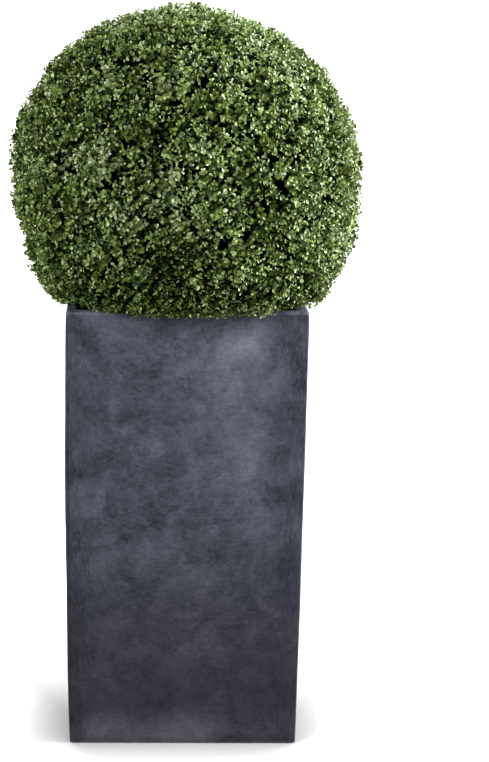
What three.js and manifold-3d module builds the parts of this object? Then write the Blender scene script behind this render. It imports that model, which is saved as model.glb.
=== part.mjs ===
// Clipped box ball growing in a tall square planter.
// Millimetres, +Z up. The origin is the middle of the planter's flat underside.

import * as THREE from "three";
import { mergeVertices } from "three/addons/utils/BufferGeometryUtils.js";
import Module from "manifold-3d";

const wasm = await Module();
wasm.setup();

// Driving dimensions of the planter
const PLANTER_WIDTH = 400;
const PLANTER_HEIGHT = 785;
const WALL = 22;
const FLOOR = 30;
const OUTER_CORNER_RADIUS = 9;
const INNER_CORNER_RADIUS = 14;
const EDGE_ROUND = 6;
const CORNER_STEPS = 4;
const EDGE_STEPS = 3;

// Driving dimensions of the plant
const BALL_DIAMETER = 610;
const CENTRE_OVER_RIM = 184.5;
const CORE_SHARE = 0.83; // the dense inside of the ball, as a share of its radius
const CORE_DETAIL = 5;
const STEM_HEIGHT = 190;
const STEM_FOOT_RADIUS = 32;
const STEM_RADIUS = 21;
const STEM_TIP_RADIUS = 12;
const STEM_DOME = 6; // height of the stem's rounded top
const STEM_LEAN = 0.035; // sideways drift of the stem for each millimetre of height
const STEM_RINGS = 9;
const STEM_SIDES = 14;

// How the pieces meet
const GAP = 0.3;
const SOIL_BELOW_RIM = 45;
const LEAF_OVER_RIM = 2;
const SLIVER = 0.05; // faces thinner than this are left out of the joined foliage

// The rule that the foliage follows
const SEED = 20417;
const BRANCHLETS = 88;
const LEAF_LENGTH = 44;
const LEAF_WIDTH = 32;
const LEAF_THICKNESS = 2.2;
const TWIG_ROOT_RADIUS = 5;
const TWIG_TIP_RADIUS = 3.2;
const TWIG_SIDES = 3;
const ROOT_SINK = 8; // how deep a twig is rooted below the deepest hollow of the core
const TIP_DEPTH = 0.66; // how far under the ball's surface a twig ends, in leaf lengths
const TWIG_WANDER = 0.16;
const SPREAD_WANDER = 8;
const SIZE_WANDER = 0.12;
const RIM_LIFT = 0.5; // how strongly the lowest branchlets turn up, clear of the rim
const PAIRS = [
  { along: 0.34, spread: 68, size: 1.0 },
  { along: 0.72, spread: 50, size: 0.94 },
  { along: 0.97, spread: 24, size: 0.82 },
];
const CLIPPING_STEP = 0.05; // how much of a leaf each stroke takes off until it keeps to the ball
const CLIPPED_LEAST = 0.6; // a leaf that would be clipped to less than this is skipped
const LUMPS_ROUND = 9;
const LUMP_DEPTH = 0.09;
const QUARTER_TURN = Math.PI / 2;
const GOLDEN_ANGLE = Math.PI * (3 - Math.sqrt(5));

// Sizes that follow from those
const BALL_RADIUS = BALL_DIAMETER / 2;
const CORE_RADIUS = BALL_RADIUS * CORE_SHARE;
const BALL_CENTRE = new THREE.Vector3(0, 0, PLANTER_HEIGHT + CENTRE_OVER_RIM);
const SOIL_TOP = PLANTER_HEIGHT - SOIL_BELOW_RIM;
const LOWEST_LEAF = PLANTER_HEIGHT + LEAF_OVER_RIM;
const TWIG_SINK = CORE_RADIUS * LUMP_DEPTH + ROOT_SINK;

// A closed geometry as a solid that can be joined and cut.
function solidFrom(geometry) {
  const bare = geometry.clone();
  bare.deleteAttribute("normal");
  bare.deleteAttribute("uv");
  const merged = mergeVertices(bare, 1e-4);
  return new wasm.Manifold(
    new wasm.Mesh({
      numProp: 3,
      vertProperties: new Float32Array(merged.attributes.position.array),
      triVerts: new Uint32Array(merged.index.array),
    }),
  );
}

// A solid as a geometry with flat faces.
function geometryFrom(solid) {
  const mesh = solid.getMesh();
  const geometry = new THREE.BufferGeometry();
  geometry.setAttribute("position", new THREE.BufferAttribute(mesh.vertProperties, 3));
  geometry.setIndex(new THREE.BufferAttribute(mesh.triVerts, 1));
  const faceted = geometry.toNonIndexed();
  faceted.computeVertexNormals();
  return faceted;
}

// Numbers from 0 to 1 that are the same on every run.
function seededRandom(seed) {
  let state = seed;
  return () => {
    state = (state + 0x6d2b79f5) | 0;
    let mixed = Math.imul(state ^ (state >>> 15), 1 | state);
    mixed = (mixed + Math.imul(mixed ^ (mixed >>> 7), 61 | mixed)) ^ mixed;
    return ((mixed ^ (mixed >>> 14)) >>> 0) / 4294967296;
  };
}

// A square outline with round corners, centred on the axis.
function roundedSquare(width, radius) {
  const reach = width / 2 - radius;
  const outline = new THREE.Shape();
  outline.absarc(reach, reach, radius, 0, QUARTER_TURN);
  outline.absarc(-reach, reach, radius, QUARTER_TURN, 2 * QUARTER_TURN);
  outline.absarc(-reach, -reach, radius, 2 * QUARTER_TURN, 3 * QUARTER_TURN);
  outline.absarc(reach, -reach, radius, 3 * QUARTER_TURN, 4 * QUARTER_TURN);
  return outline;
}

// The planter's outside: a straight square column whose top and bottom edges are rounded over.
function planterOutside() {
  const column = new THREE.ExtrudeGeometry(roundedSquare(PLANTER_WIDTH, OUTER_CORNER_RADIUS), {
    depth: PLANTER_HEIGHT - 2 * EDGE_ROUND,
    curveSegments: CORNER_STEPS,
    bevelThickness: EDGE_ROUND,
    bevelSize: EDGE_ROUND,
    bevelOffset: -EDGE_ROUND,
    bevelSegments: EDGE_STEPS,
  });
  return column.translate(0, 0, EDGE_ROUND);
}

// A straight block with the plan of the planter's inside, from one height to another.
function insideBlock(clearance, bottom, top) {
  const width = PLANTER_WIDTH - 2 * (WALL + clearance);
  const block = new THREE.ExtrudeGeometry(roundedSquare(width, INNER_CORNER_RADIUS - clearance), {
    depth: top - bottom,
    curveSegments: CORNER_STEPS,
    bevelEnabled: false,
  });
  return block.translate(0, 0, bottom);
}

// The planter: a cast shell with an even wall and a thick floor.
function planter() {
  const cavity = insideBlock(0, FLOOR, PLANTER_HEIGHT + WALL);
  return geometryFrom(solidFrom(planterOutside()).subtract(solidFrom(cavity)));
}

// The soil that fills the planter to a little below its rim.
function pottingSoil() {
  return insideBlock(GAP, FLOOR + GAP, SOIL_TOP);
}

// How thick the stem is at a height above its foot: a slow taper, and a root flare that dies away.
function stemRadius(height) {
  const taper = THREE.MathUtils.lerp(STEM_RADIUS, STEM_TIP_RADIUS, height / STEM_HEIGHT);
  const flare = (STEM_FOOT_RADIUS - STEM_RADIUS) * Math.exp((-3 * height) / STEM_FOOT_RADIUS);
  return taper + flare;
}

// The stem, turned on a lathe from its flat foot on the soil to its rounded tip, and grown larger on all sides
// by a margin. It leans by a shear, so its foot stays level.
function stemShape(margin) {
  const profile = [new THREE.Vector2(0, -margin)];
  for (let ring = 0; ring <= STEM_RINGS; ring += 1) {
    const height = (ring / STEM_RINGS) ** 1.5 * STEM_HEIGHT;
    profile.push(new THREE.Vector2(stemRadius(height) + margin, ring === 0 ? -margin : height));
  }
  profile.push(new THREE.Vector2(0.6 * STEM_TIP_RADIUS + margin, STEM_HEIGHT + 0.7 * STEM_DOME + margin));
  profile.push(new THREE.Vector2(0, STEM_HEIGHT + STEM_DOME + margin));
  const lean = new THREE.Matrix4().makeShear(0, 0, 0, 0, STEM_LEAN, STEM_LEAN / 2);
  const stem = new THREE.LatheGeometry(profile, STEM_SIDES).rotateX(QUARTER_TURN);
  return stem.applyMatrix4(lean).translate(0, 0, SOIL_TOP + GAP);
}

// One box leaf: a thin closed blade of eight faces. It lies along +Y from its root at the origin, flat on its
// upper side, which faces +Z, and keeled below. It is widest past its middle and blunt at its tip.
function boxLeaf(length, width) {
  const middle = 0.56 * length;
  const corners = [
    [0, 0, 0],
    [width / 2, middle, 0],
    [width / 4, length, 0],
    [-width / 4, length, 0],
    [-width / 2, middle, 0],
    [0, middle, -LEAF_THICKNESS],
  ];
  const upper = [0, 1, 4, 1, 3, 4, 1, 2, 3];
  const under = [1, 0, 5, 2, 1, 5, 3, 2, 5, 4, 3, 5, 0, 4, 5];
  const blade = new THREE.BufferGeometry();
  blade.setAttribute("position", new THREE.Float32BufferAttribute(corners.flat(), 3));
  return blade.setIndex([...upper, ...under]);
}

// Where branchlet number index is rooted, as a direction from the ball's centre, and which way it grows. The
// roots are spread evenly by the golden angle from the ball's top down to the rim. The branchlets wander a
// little, and turn up where they come near the rim.
function branchletPlace(index, random) {
  const lowest = -(CENTRE_OVER_RIM - LEAF_WIDTH / 2) / BALL_RADIUS;
  const share = (index + 0.5) / BRANCHLETS;
  const height = THREE.MathUtils.lerp(1, lowest, share);
  const across = Math.sqrt(1 - height * height);
  const turn = index * GOLDEN_ANGLE;
  const root = new THREE.Vector3(across * Math.cos(turn), across * Math.sin(turn), height);
  const axis = root.clone();
  axis.x += TWIG_WANDER * (2 * random() - 1);
  axis.y += TWIG_WANDER * (2 * random() - 1);
  axis.z += TWIG_WANDER * (2 * random() - 1) + RIM_LIFT * Math.max(0, -height) ** 2;
  return { root, axis: axis.normalize() };
}

// How far a line from a point inside the ball runs before it leaves the ball.
function lengthToSurface(from, axis) {
  const offset = from.clone().sub(BALL_CENTRE);
  const along = offset.dot(axis);
  return -along + Math.sqrt(along * along - offset.lengthSq() + BALL_RADIUS * BALL_RADIUS);
}

// True if every corner of a placed geometry keeps to the ball's own space, above the planter's rim.
function keepsToBall(geometry) {
  const corner = new THREE.Vector3();
  const places = geometry.attributes.position;
  for (let i = 0; i < places.count; i += 1) {
    corner.fromBufferAttribute(places, i);
    if (corner.z < LOWEST_LEAF || corner.distanceTo(BALL_CENTRE) > BALL_RADIUS) return false;
  }
  return true;
}

// A leaf of a given size at a given place, clipped back until it keeps to the ball, or nothing.
function clippedLeaf(size, place) {
  for (let share = 1; share >= CLIPPED_LEAST; share -= CLIPPING_STEP) {
    const leaf = boxLeaf(LEAF_LENGTH * size * share, LEAF_WIDTH * size).applyMatrix4(place);
    if (keepsToBall(leaf)) return [leaf];
  }
  return [];
}

// The opposite pairs of leaves on one branchlet. Each pair stands a quarter turn round from the last, and the
// pairs close up towards the tip.
function branchletLeaves(from, axis, length, random) {
  const leaves = [];
  const side = new THREE.Vector3(0, 0, 1).cross(axis).normalize();
  const firstTurn = random() * Math.PI;
  PAIRS.forEach((pair, number) => {
    const node = from.clone().addScaledVector(axis, TWIG_SINK + (length - TWIG_SINK) * pair.along);
    for (const half of [0, 1]) {
      const turn = firstTurn + number * QUARTER_TURN + half * Math.PI;
      const outward = side.clone().applyAxisAngle(axis, turn);
      const spread = THREE.MathUtils.degToRad(pair.spread + SPREAD_WANDER * (2 * random() - 1));
      const along = axis.clone().multiplyScalar(Math.cos(spread)).addScaledVector(outward, Math.sin(spread));
      const upper = axis.clone().multiplyScalar(Math.sin(spread)).addScaledVector(outward, -Math.cos(spread));
      const place = new THREE.Matrix4().makeBasis(along.clone().cross(upper), along, upper);
      place.setPosition(node);
      leaves.push(...clippedLeaf(pair.size * (1 - SIZE_WANDER * random()), place));
    }
  });
  return leaves;
}

// One branchlet: a three-sided twig, rooted in the core, with its leaves.
function branchlet(index, random) {
  const { root, axis } = branchletPlace(index, random);
  const from = BALL_CENTRE.clone().addScaledVector(root, CORE_RADIUS - TWIG_SINK);
  const length = lengthToSurface(from, axis) - LEAF_LENGTH * TIP_DEPTH;
  const twig = new THREE.CylinderGeometry(TWIG_TIP_RADIUS, TWIG_ROOT_RADIUS, length, TWIG_SIDES);
  twig.translate(0, length / 2, 0);
  twig.applyQuaternion(new THREE.Quaternion().setFromUnitVectors(new THREE.Vector3(0, 1, 0), axis));
  twig.translate(from.x, from.y, from.z);
  return [twig, ...branchletLeaves(from, axis, length, random)];
}

// The dense inside of the ball: a lumpy sphere cut flat just over the soil. Its lumps only go inwards.
function foliageCore() {
  const bare = new THREE.IcosahedronGeometry(CORE_RADIUS, CORE_DETAIL);
  bare.deleteAttribute("normal");
  bare.deleteAttribute("uv");
  const sphere = mergeVertices(bare, 1e-4);
  const places = sphere.attributes.position;
  const place = new THREE.Vector3();
  for (let i = 0; i < places.count; i += 1) {
    place.fromBufferAttribute(places, i);
    const [x, y, z] = place.clone().multiplyScalar(LUMPS_ROUND / CORE_RADIUS).toArray();
    const lump = (Math.sin(x + Math.sin(y)) + Math.sin(y + Math.sin(z)) + Math.sin(z + Math.sin(x))) / 3;
    place.multiplyScalar(1 - LUMP_DEPTH * (0.5 + 0.5 * lump)).add(BALL_CENTRE);
    places.setXYZ(i, ...place);
  }
  const ground = new THREE.BoxGeometry(BALL_DIAMETER, BALL_DIAMETER, BALL_DIAMETER);
  ground.translate(0, 0, SOIL_TOP + GAP - BALL_DIAMETER / 2);
  return solidFrom(sphere).subtract(solidFrom(ground));
}

// The foliage ball: the core with all its branchlets and leaves fused on, cut clear of the stem.
function foliageBall() {
  const random = seededRandom(SEED);
  let ball = foliageCore();
  for (let index = 0; index < BRANCHLETS; index += 1) {
    const pieces = branchlet(index, random).map(solidFrom);
    const spray = pieces.reduce((joined, piece) => joined.add(piece));
    ball = ball.add(spray);
  }
  const cleared = ball.subtract(solidFrom(stemShape(GAP)));
  return geometryFrom(cleared.asOriginal().simplify(SLIVER));
}

const FINISHES = {
  castClay: new THREE.MeshStandardMaterial({ color: 0x4a4c57, roughness: 0.62, metalness: 0 }),
  darkSoil: new THREE.MeshStandardMaterial({ color: 0x2b2119, roughness: 1, metalness: 0 }),
  greyBark: new THREE.MeshStandardMaterial({ color: 0x6b5c48, roughness: 0.9, metalness: 0 }),
  boxGreen: new THREE.MeshStandardMaterial({ color: 0x5b7436, roughness: 0.55, metalness: 0 }),
};

const topiary = new THREE.Group();

// Adds one named sub-part to the topiary.
function addPart(name, geometry, finish) {
  const mesh = new THREE.Mesh(geometry, finish);
  mesh.name = name;
  topiary.add(mesh);
}

addPart("planter", planter(), FINISHES.castClay);
addPart("potting_soil", pottingSoil(), FINISHES.darkSoil);
addPart("stem", stemShape(0), FINISHES.greyBark);
addPart("foliage_ball", foliageBall(), FINISHES.boxGreen);

export default topiary;
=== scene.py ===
"""Dresses a clipped box ball in a tall square planter: clay, soil, bark, twigs and leaves.

Lengths are in metres. The origin is the middle of the planter's underside, +Z is up and -Y faces the camera.
The foliage follows the rule that the solids follow, and carries it on to finer twigs.
"""

from __future__ import annotations

import logging
import math
from dataclasses import dataclass, field
from enum import Enum
from typing import Any, Mapping

import bmesh
import bpy
import numpy as np
from mathutils import Matrix, Vector, noise

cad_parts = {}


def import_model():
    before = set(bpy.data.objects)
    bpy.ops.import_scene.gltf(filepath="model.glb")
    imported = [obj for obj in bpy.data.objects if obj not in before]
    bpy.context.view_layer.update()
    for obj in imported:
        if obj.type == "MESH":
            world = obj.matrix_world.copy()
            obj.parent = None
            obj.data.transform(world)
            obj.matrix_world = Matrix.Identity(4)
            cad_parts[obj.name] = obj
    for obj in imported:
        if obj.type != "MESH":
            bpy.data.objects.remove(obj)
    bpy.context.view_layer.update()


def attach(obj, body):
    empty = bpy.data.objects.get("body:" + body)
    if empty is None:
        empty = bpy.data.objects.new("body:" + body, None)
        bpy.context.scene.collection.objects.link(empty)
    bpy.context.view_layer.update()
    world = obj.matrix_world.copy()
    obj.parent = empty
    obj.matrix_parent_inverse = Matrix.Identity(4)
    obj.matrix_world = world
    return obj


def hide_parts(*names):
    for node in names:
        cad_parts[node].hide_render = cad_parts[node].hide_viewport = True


LOG = logging.getLogger("topiary")
GOLDEN_ANGLE = math.pi * (3 - math.sqrt(5))
BODY = "root"
MERGE_DISTANCE = 1e-5
CLEARANCE = 1e-4
PLANTER_WIDTH = 0.400
PLANTER_HEIGHT = 0.785
PLANTER_WALL = 0.022
STEM_FOOT = 0.7403
Pair = tuple[float, float]
Triple = tuple[float, float, float]
Colour = Triple


class Node(Enum):
    """The solids that the pieces stand for."""

    PLANTER = "planter"
    SOIL = "potting_soil"
    STEM = "stem"
    BALL = "foliage_ball"


class Signal:
    """A number that a shader works out. Python's operators on it add Math nodes."""

    def __init__(self, shader: Shader, socket: bpy.types.NodeSocket) -> None:
        """Wraps a socket of a shader's node."""
        self.shader = shader
        self.socket = socket

    def math(self, operation: str, *others: Signal | float) -> Signal:
        """Adds a Math node of one operation, with this signal first."""
        values = dict(enumerate((self, *others)))
        made = self.shader.node("ShaderNodeMath", {"operation": operation}, values)
        return Signal(self.shader, made.outputs[0])

    def __add__(self, other: Signal | float) -> Signal:
        """Adds."""
        return self.math("ADD", other)

    def __sub__(self, other: Signal | float) -> Signal:
        """Subtracts."""
        return self.math("SUBTRACT", other)

    def __rsub__(self, other: float) -> Signal:
        """Subtracts this signal from a number."""
        return self.math("MULTIPLY_ADD", -1.0, other)

    def __mul__(self, other: Signal | float) -> Signal:
        """Multiplies."""
        return self.math("MULTIPLY", other)

    def __pow__(self, other: Signal | float) -> Signal:
        """Raises to a power."""
        return self.math("POWER", other)

    __radd__ = __add__
    __rmul__ = __mul__

    def size(self) -> Signal:
        """Drops the sign."""
        return self.math("ABSOLUTE")

    def least(self, other: Signal | float) -> Signal:
        """Takes the smaller of two."""
        return self.math("MINIMUM", other)

    def most(self, other: Signal | float) -> Signal:
        """Takes the larger of two."""
        return self.math("MAXIMUM", other)

    def rise(self, start: float, end: float) -> Signal:
        """Rises smoothly from 0 at start to 1 at end, or falls where start is the larger.

        Args:
            start: The value that gives 0.
            end: The value that gives 1.

        Returns:
            A mask from 0 to 1.
        """
        made = self.shader.node(
            "ShaderNodeMapRange",
            {"interpolation_type": "SMOOTHSTEP"},
            {"Value": self, "From Min": start, "From Max": end},
        )
        return Signal(self.shader, made.outputs[0])


class Shader:
    """Builds one material from nodes, around a single Principled shader."""

    def __init__(self, name: str, **uniform: Any) -> None:
        """Starts a material.

        Args:
            name: The material's name.
            uniform: Values of the Principled shader's sockets that are the same all over, with underscores
                for the spaces in a socket's name.
        """
        self.material = bpy.data.materials.new(name)
        self.material.use_nodes = True
        self.tree = self.material.node_tree
        self.tree.nodes.clear()
        named = {socket.replace("_", " "): value for socket, value in uniform.items()}
        self.principled = self.node("ShaderNodeBsdfPrincipled", {}, named)
        self.output = self.node("ShaderNodeOutputMaterial", {}, {"Surface": self.principled.outputs[0]})
        self.place = self.node("ShaderNodeTexCoord").outputs["Object"]

    def node(
        self,
        kind: str,
        settings: Mapping[str, Any] | None = None,
        values: Mapping[str | int, Any] | None = None,
    ) -> bpy.types.Node:
        """Adds a node.

        Args:
            kind: The node's type.
            settings: Its properties, set first.
            values: What its sockets hold or are linked to, by name or number.

        Returns:
            The new node.
        """
        made = self.tree.nodes.new(kind)
        for name, value in (settings or {}).items():
            setattr(made, name, value)
        for name, value in (values or {}).items():
            self.feed(made.inputs[name], value)
        return made

    def feed(self, socket: bpy.types.NodeSocket, value: Any) -> None:
        """Links a socket or sets its value.

        Args:
            socket: The node's input.
            value: A signal, an output socket, a number, a vector or a colour.
        """
        if isinstance(value, Signal):
            self.tree.links.new(value.socket, socket)
        elif isinstance(value, bpy.types.NodeSocket):
            self.tree.links.new(value, socket)
        elif socket.type == "RGBA":
            socket.default_value = (*value[:3], 1.0)
        else:
            socket.default_value = value

    def vector(self, operation: str, *values: Any) -> bpy.types.Node:
        """Adds a Vector Math node of one operation, on vectors or sockets in their order."""
        return self.node("ShaderNodeVectorMath", {"operation": operation}, dict(enumerate(values)))

    def axis(self, name: str) -> Signal:
        """Gives one coordinate, X, Y or Z, of the place on the object."""
        parts = self.node("ShaderNodeSeparateXYZ", {}, {0: self.place})
        return Signal(self, parts.outputs[name])

    def stretched(
        self, scale: Triple, turn: Triple = (0, 0, 0), place: bpy.types.NodeSocket | None = None
    ) -> bpy.types.NodeSocket:
        """Gives a place turned and then scaled, to draw a pattern along one direction.

        Args:
            scale: How many times finer the pattern is along X, Y and Z.
            turn: The turn about X, Y and Z in degrees.
            place: The vector that is turned, or the place on the object.

        Returns:
            A vector socket.
        """
        angles = [math.radians(angle) for angle in turn]
        values = {"Vector": place or self.place, "Scale": scale, "Rotation": angles}
        return self.node("ShaderNodeMapping", {}, values).outputs[0]

    def grain(
        self,
        scale: float,
        detail: float = 2.0,
        distortion: float = 0.0,
        place: bpy.types.NodeSocket | None = None,
    ) -> Signal:
        """Gives fractal noise from 0 to 1, with a mean of one half.

        Args:
            scale: Features for each metre.
            detail: Octaves.
            distortion: How much the noise swirls.
            place: The vector that it is read at, or the place on the object.

        Returns:
            The noise.
        """
        values = {"Vector": place or self.place, "Scale": scale, "Detail": detail, "Distortion": distortion}
        return Signal(self, self.node("ShaderNodeTexNoise", {}, values).outputs[0])

    def cells(self, scale: float) -> Signal:
        """Gives the distance to the nearest of many scattered points, in cell widths."""
        made = self.node("ShaderNodeTexVoronoi", {}, {"Vector": self.place, "Scale": scale})
        return Signal(self, made.outputs["Distance"])

    def blend(self, mask: Signal | float, under: Any, over: Any) -> bpy.types.NodeSocket:
        """Mixes two colours: the first where the mask is 0, and the second where it is 1."""
        made = self.node("ShaderNodeMix", {"data_type": "RGBA"}, {0: mask, 6: under, 7: over})
        return made.outputs[2]

    def raise_surface(self, height: Signal, depth: float) -> None:
        """Makes the surface stand up where a signal is high, by a depth in metres."""
        bump = self.node("ShaderNodeBump", {}, {"Strength": 1.0, "Distance": depth, "Height": height})
        self.feed(self.principled.inputs["Normal"], bump.outputs[0])

    def dress(self, **links: Any) -> bpy.types.Material:
        """Feeds sockets of the Principled shader that change over the surface.

        Args:
            links: Signals or sockets, named as the shader's sockets with underscores for spaces.

        Returns:
            The finished material.
        """
        for name, value in links.items():
            self.feed(self.principled.inputs[name.replace("_", " ")], value)
        return self.material


@dataclass(frozen=True)
class Cloud:
    """A soft patch on the planter's front where the clay is rubbed lighter or left darker; one, just under
    the rim, is painted shadow of the foliage.
    """

    across: float
    height: float
    wide: float
    tall: float
    strength: float


@dataclass(frozen=True)
class SlateClay:
    """Dark slate-grey clay, brushed and rubbed by hand, with a satin finish.

    The strips are distances from the planter's middle, in which a mask rises along its upright corners, where
    the clay is painted darker as painted shade. The bands are heights in which one rises or falls, and the
    rim's is measured down from the top. The head and rim bands carry painted light, and the sole band wear
    with a painted reflection of the floor.
    """

    dark: Colour = (0.0040, 0.0056, 0.0118)
    slate: Colour = (0.122, 0.128, 0.158)
    plum: Colour = (0.122, 0.115, 0.132)
    scratch: Colour = (0.22, 0.23, 0.26)
    # Painted light for the rim's top, which the ball shades.
    rim_painted_light: Colour = (0.145, 0.157, 0.190)
    gloss: float = 0.27
    roughness: float = 0.66
    relief: float = 0.0005
    half_width: float = PLANTER_WIDTH / 2
    height: float = PLANTER_HEIGHT
    # Painted shade: the clay is darkened along the upright corners, where the satin finish reflects less
    # light, most of all on their arrises.
    margin_strip: Pair = (0.120, 0.194)
    corner_shade_strip: Pair = (0.1950, 0.1990)
    foot_band: Pair = (0.085, 0.010)
    low_band: Pair = (0.53, 0.17)
    head_band: Pair = (0.58, 0.74)
    rim_light_band: Pair = (0.007, 0.002)
    sole_sheen_band: Pair = (0.007, 0.001)
    light_level: float = 0.316
    head_painted_light: float = 0.066
    foot_lighter: float = 0.34
    margin_painted_shade: float = 0.27
    low_darker: float = 0.57
    patches_least: float = 1.05
    marks_mean: float = 1.98
    cloud_edge: float = 1.25
    cloud_swirl: float = 0.08
    stroke_swirl: float = 0.014
    swirl_pitch: float = 13.0
    stroke_pitch: Triple = (64, 64, 260)
    stroke_angles: Triple = (8, 40, -50)
    upright_pitch: Triple = (260, 260, 46)
    upright_angle: float = -5
    clouds: tuple[Cloud, ...] = (
        Cloud(0.093, 0.725, 0.042, 0.040, 1.35),
        Cloud(0.078, 0.655, 0.100, 0.085, 0.42),
        Cloud(0.025, 0.630, 0.050, 0.035, 0.15),
        Cloud(0.105, 0.520, 0.060, 0.075, 0.55),
        Cloud(0.112, 0.425, 0.055, 0.055, 0.44),
        Cloud(-0.040, 0.568, 0.080, 0.040, 0.15),
        Cloud(-0.165, 0.570, 0.040, 0.030, 0.12),
        Cloud(-0.172, 0.475, 0.045, 0.045, 0.55),
        Cloud(0.030, 0.315, 0.045, 0.050, 0.25),
        Cloud(-0.160, 0.335, 0.040, 0.040, 0.15),
        Cloud(-0.125, 0.225, 0.050, 0.040, 0.22),
        Cloud(-0.055, 0.168, 0.060, 0.055, 0.32),
        Cloud(-0.110, 0.085, 0.045, 0.035, 0.15),
        Cloud(-0.080, 0.020, 0.160, 0.050, 1.10),
        Cloud(-0.150, 0.770, 0.080, 0.034, 0.50),
        Cloud(-0.160, 0.645, 0.060, 0.040, -0.22),
        Cloud(-0.125, 0.630, 0.045, 0.035, -0.22),
        # Painted shadow of the foliage just under the rim.
        Cloud(0.012, 0.765, 0.060, 0.026, -0.36),
        Cloud(0.172, 0.590, 0.040, 0.060, -0.30),
        Cloud(0.155, 0.468, 0.034, 0.040, -0.28),
        Cloud(0.182, 0.695, 0.040, 0.080, -0.35),
        Cloud(-0.165, 0.520, 0.060, 0.040, -0.22),
        Cloud(-0.095, 0.500, 0.070, 0.060, -0.12),
        Cloud(-0.095, 0.415, 0.085, 0.060, -0.48),
        Cloud(-0.070, 0.305, 0.110, 0.060, -0.50),
        Cloud(-0.072, 0.522, 0.045, 0.035, -0.22),
        Cloud(0.080, 0.365, 0.070, 0.035, -0.12),
        Cloud(0.150, 0.120, 0.060, 0.080, -0.08),
    )

    def cloud_mask(self, shader: Shader, cloud: Cloud, swirl: bpy.types.NodeSocket) -> Signal:
        """Draws one cloud.

        Args:
            shader: The material's nodes.
            cloud: The patch.
            swirl: The place on the object, swirled so that the patch has a ragged outline.

        Returns:
            A mask times the cloud's strength.
        """
        centre = (cloud.across, -self.half_width, cloud.height)
        scale = (1 / cloud.wide, 1 / cloud.wide, 1 / cloud.tall)
        moved = shader.vector("SUBTRACT", swirl, centre)
        scaled = shader.vector("MULTIPLY", moved.outputs[0], scale)
        reach = shader.vector("LENGTH", scaled.outputs[0])
        return Signal(shader, reach.outputs["Value"]).rise(self.cloud_edge, 0.0) * cloud.strength

    @staticmethod
    def streaks(shader: Shader, pitch: Triple, angle: float, place: bpy.types.NodeSocket) -> Signal:
        """Draws the strokes of one direction, tilted by an angle in degrees on the planter's front."""
        return shader.grain(1.0, 3.0, 0.6, shader.stretched(pitch, (0, angle, 0), place))

    def strokes(self, shader: Shader, margin: Signal) -> Signal:
        """Draws short brush strokes, level and slanting in patches, and upright near the corners.

        Args:
            shader: The material's nodes.
            margin: A mask of the strips along the upright corners.

        Returns:
            Streaks from 0 to 1, one half where there is none.
        """
        rubbed = self.swirled(shader, self.stroke_swirl)
        drawn = [self.streaks(shader, self.stroke_pitch, angle, rubbed) for angle in self.stroke_angles]
        mixed = drawn[0]
        for number, other in enumerate(drawn[1:]):
            elsewhere = shader.stretched((1, 1, 1), (50 * number, 20 * number, 70 * number))
            patch = shader.grain(12.0, 1.0, 0.0, elsewhere).rise(0.40, 0.60)
            mixed = other * patch + mixed * (1 - patch)
        upright = self.streaks(shader, self.upright_pitch, self.upright_angle, rubbed)
        return upright * margin + mixed * (1 - margin)

    def scratches(self, shader: Shader) -> Signal:
        """Draws a few short slanting scratches, a hair wide.

        Args:
            shader: The material's nodes.

        Returns:
            A mask from 0 to 1.
        """
        steep = shader.grain(1.0, 0.0, 0.0, shader.stretched((600, 600, 36), (0, 34, 0))).rise(0.80, 0.90)
        flat = shader.grain(1.0, 0.0, 0.0, shader.stretched((34, 34, 600), (0, 21, 0))).rise(0.80, 0.90)
        return steep.most(flat) * shader.grain(14.0, 1.0).rise(0.54, 0.64)

    def curls(self, shader: Shader) -> Signal:
        """Draws faint curled lines where the clay was rubbed with a cloth.

        Args:
            shader: The material's nodes.

        Returns:
            A mask from 0 to 1.
        """
        bands = shader.grain(26.0, 1.0, 1.2)
        line = (bands - 0.5).size().rise(0.016, 0.002)
        return line * shader.grain(9.0, 1.0).rise(0.50, 0.66) * shader.grain(60.0, 1.0).rise(0.35, 0.65)

    def swirled(self, shader: Shader, reach: float) -> bpy.types.NodeSocket:
        """Gives the place on the object, moved about by soft noise.

        Args:
            shader: The material's nodes.
            reach: How far apart the noise can move two places.

        Returns:
            A vector socket.
        """
        values = {"Vector": shader.place, "Scale": self.swirl_pitch, "Detail": 3.0}
        drift = shader.node("ShaderNodeTexNoise", {}, values).outputs["Color"]
        moved = shader.vector("MULTIPLY_ADD", drift, (reach,) * 3, shader.place)
        return shader.vector("SUBTRACT", moved.outputs[0], (reach / 2,) * 3).outputs[0]

    def tone(self, shader: Shader, strokes: Signal, fine: Signal, low: Signal, margin: Signal) -> Signal:
        """Works out how light the clay is.

        Args:
            shader: The material's nodes.
            strokes: The brush strokes.
            fine: The finest grain.
            low: A mask of the darker lower third.
            margin: A mask of the strips along the upright corners.

        Returns:
            From 0, dark, to 1, light.
        """
        height = shader.axis("Z")
        foot = height.rise(*self.foot_band) * (shader.grain(9.0).rise(0.3, 0.6) * 0.6 + 0.4)
        # Painted light: the top of the front is lightened against the shade that the ball casts there.
        head = height.rise(*self.head_band)
        level = self.light_level + head * self.head_painted_light + foot * self.foot_lighter
        # Painted shade darkens the strips along the upright corners.
        level = level * (1 - margin * self.margin_painted_shade) * (1 - low * self.low_darker)
        patches = shader.grain(6.0, 3.0, 0.6) * 0.9 + shader.grain(17.0, 4.0, 1.0) * 2.0
        swirl = self.swirled(shader, self.cloud_swirl)
        for cloud in self.clouds:
            patches = patches + self.cloud_mask(shader, cloud, swirl)
        smoke = shader.grain(44.0, 4.0, 1.4)
        mottle = shader.grain(150.0, 3.0, 0.4)
        brushed = (strokes - 0.5) * (margin * 0.8 + 1.1)
        marks = patches.most(self.patches_least) + smoke * 0.9 + brushed + mottle + fine * 1.1
        return level * (marks - self.marks_mean)

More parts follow.
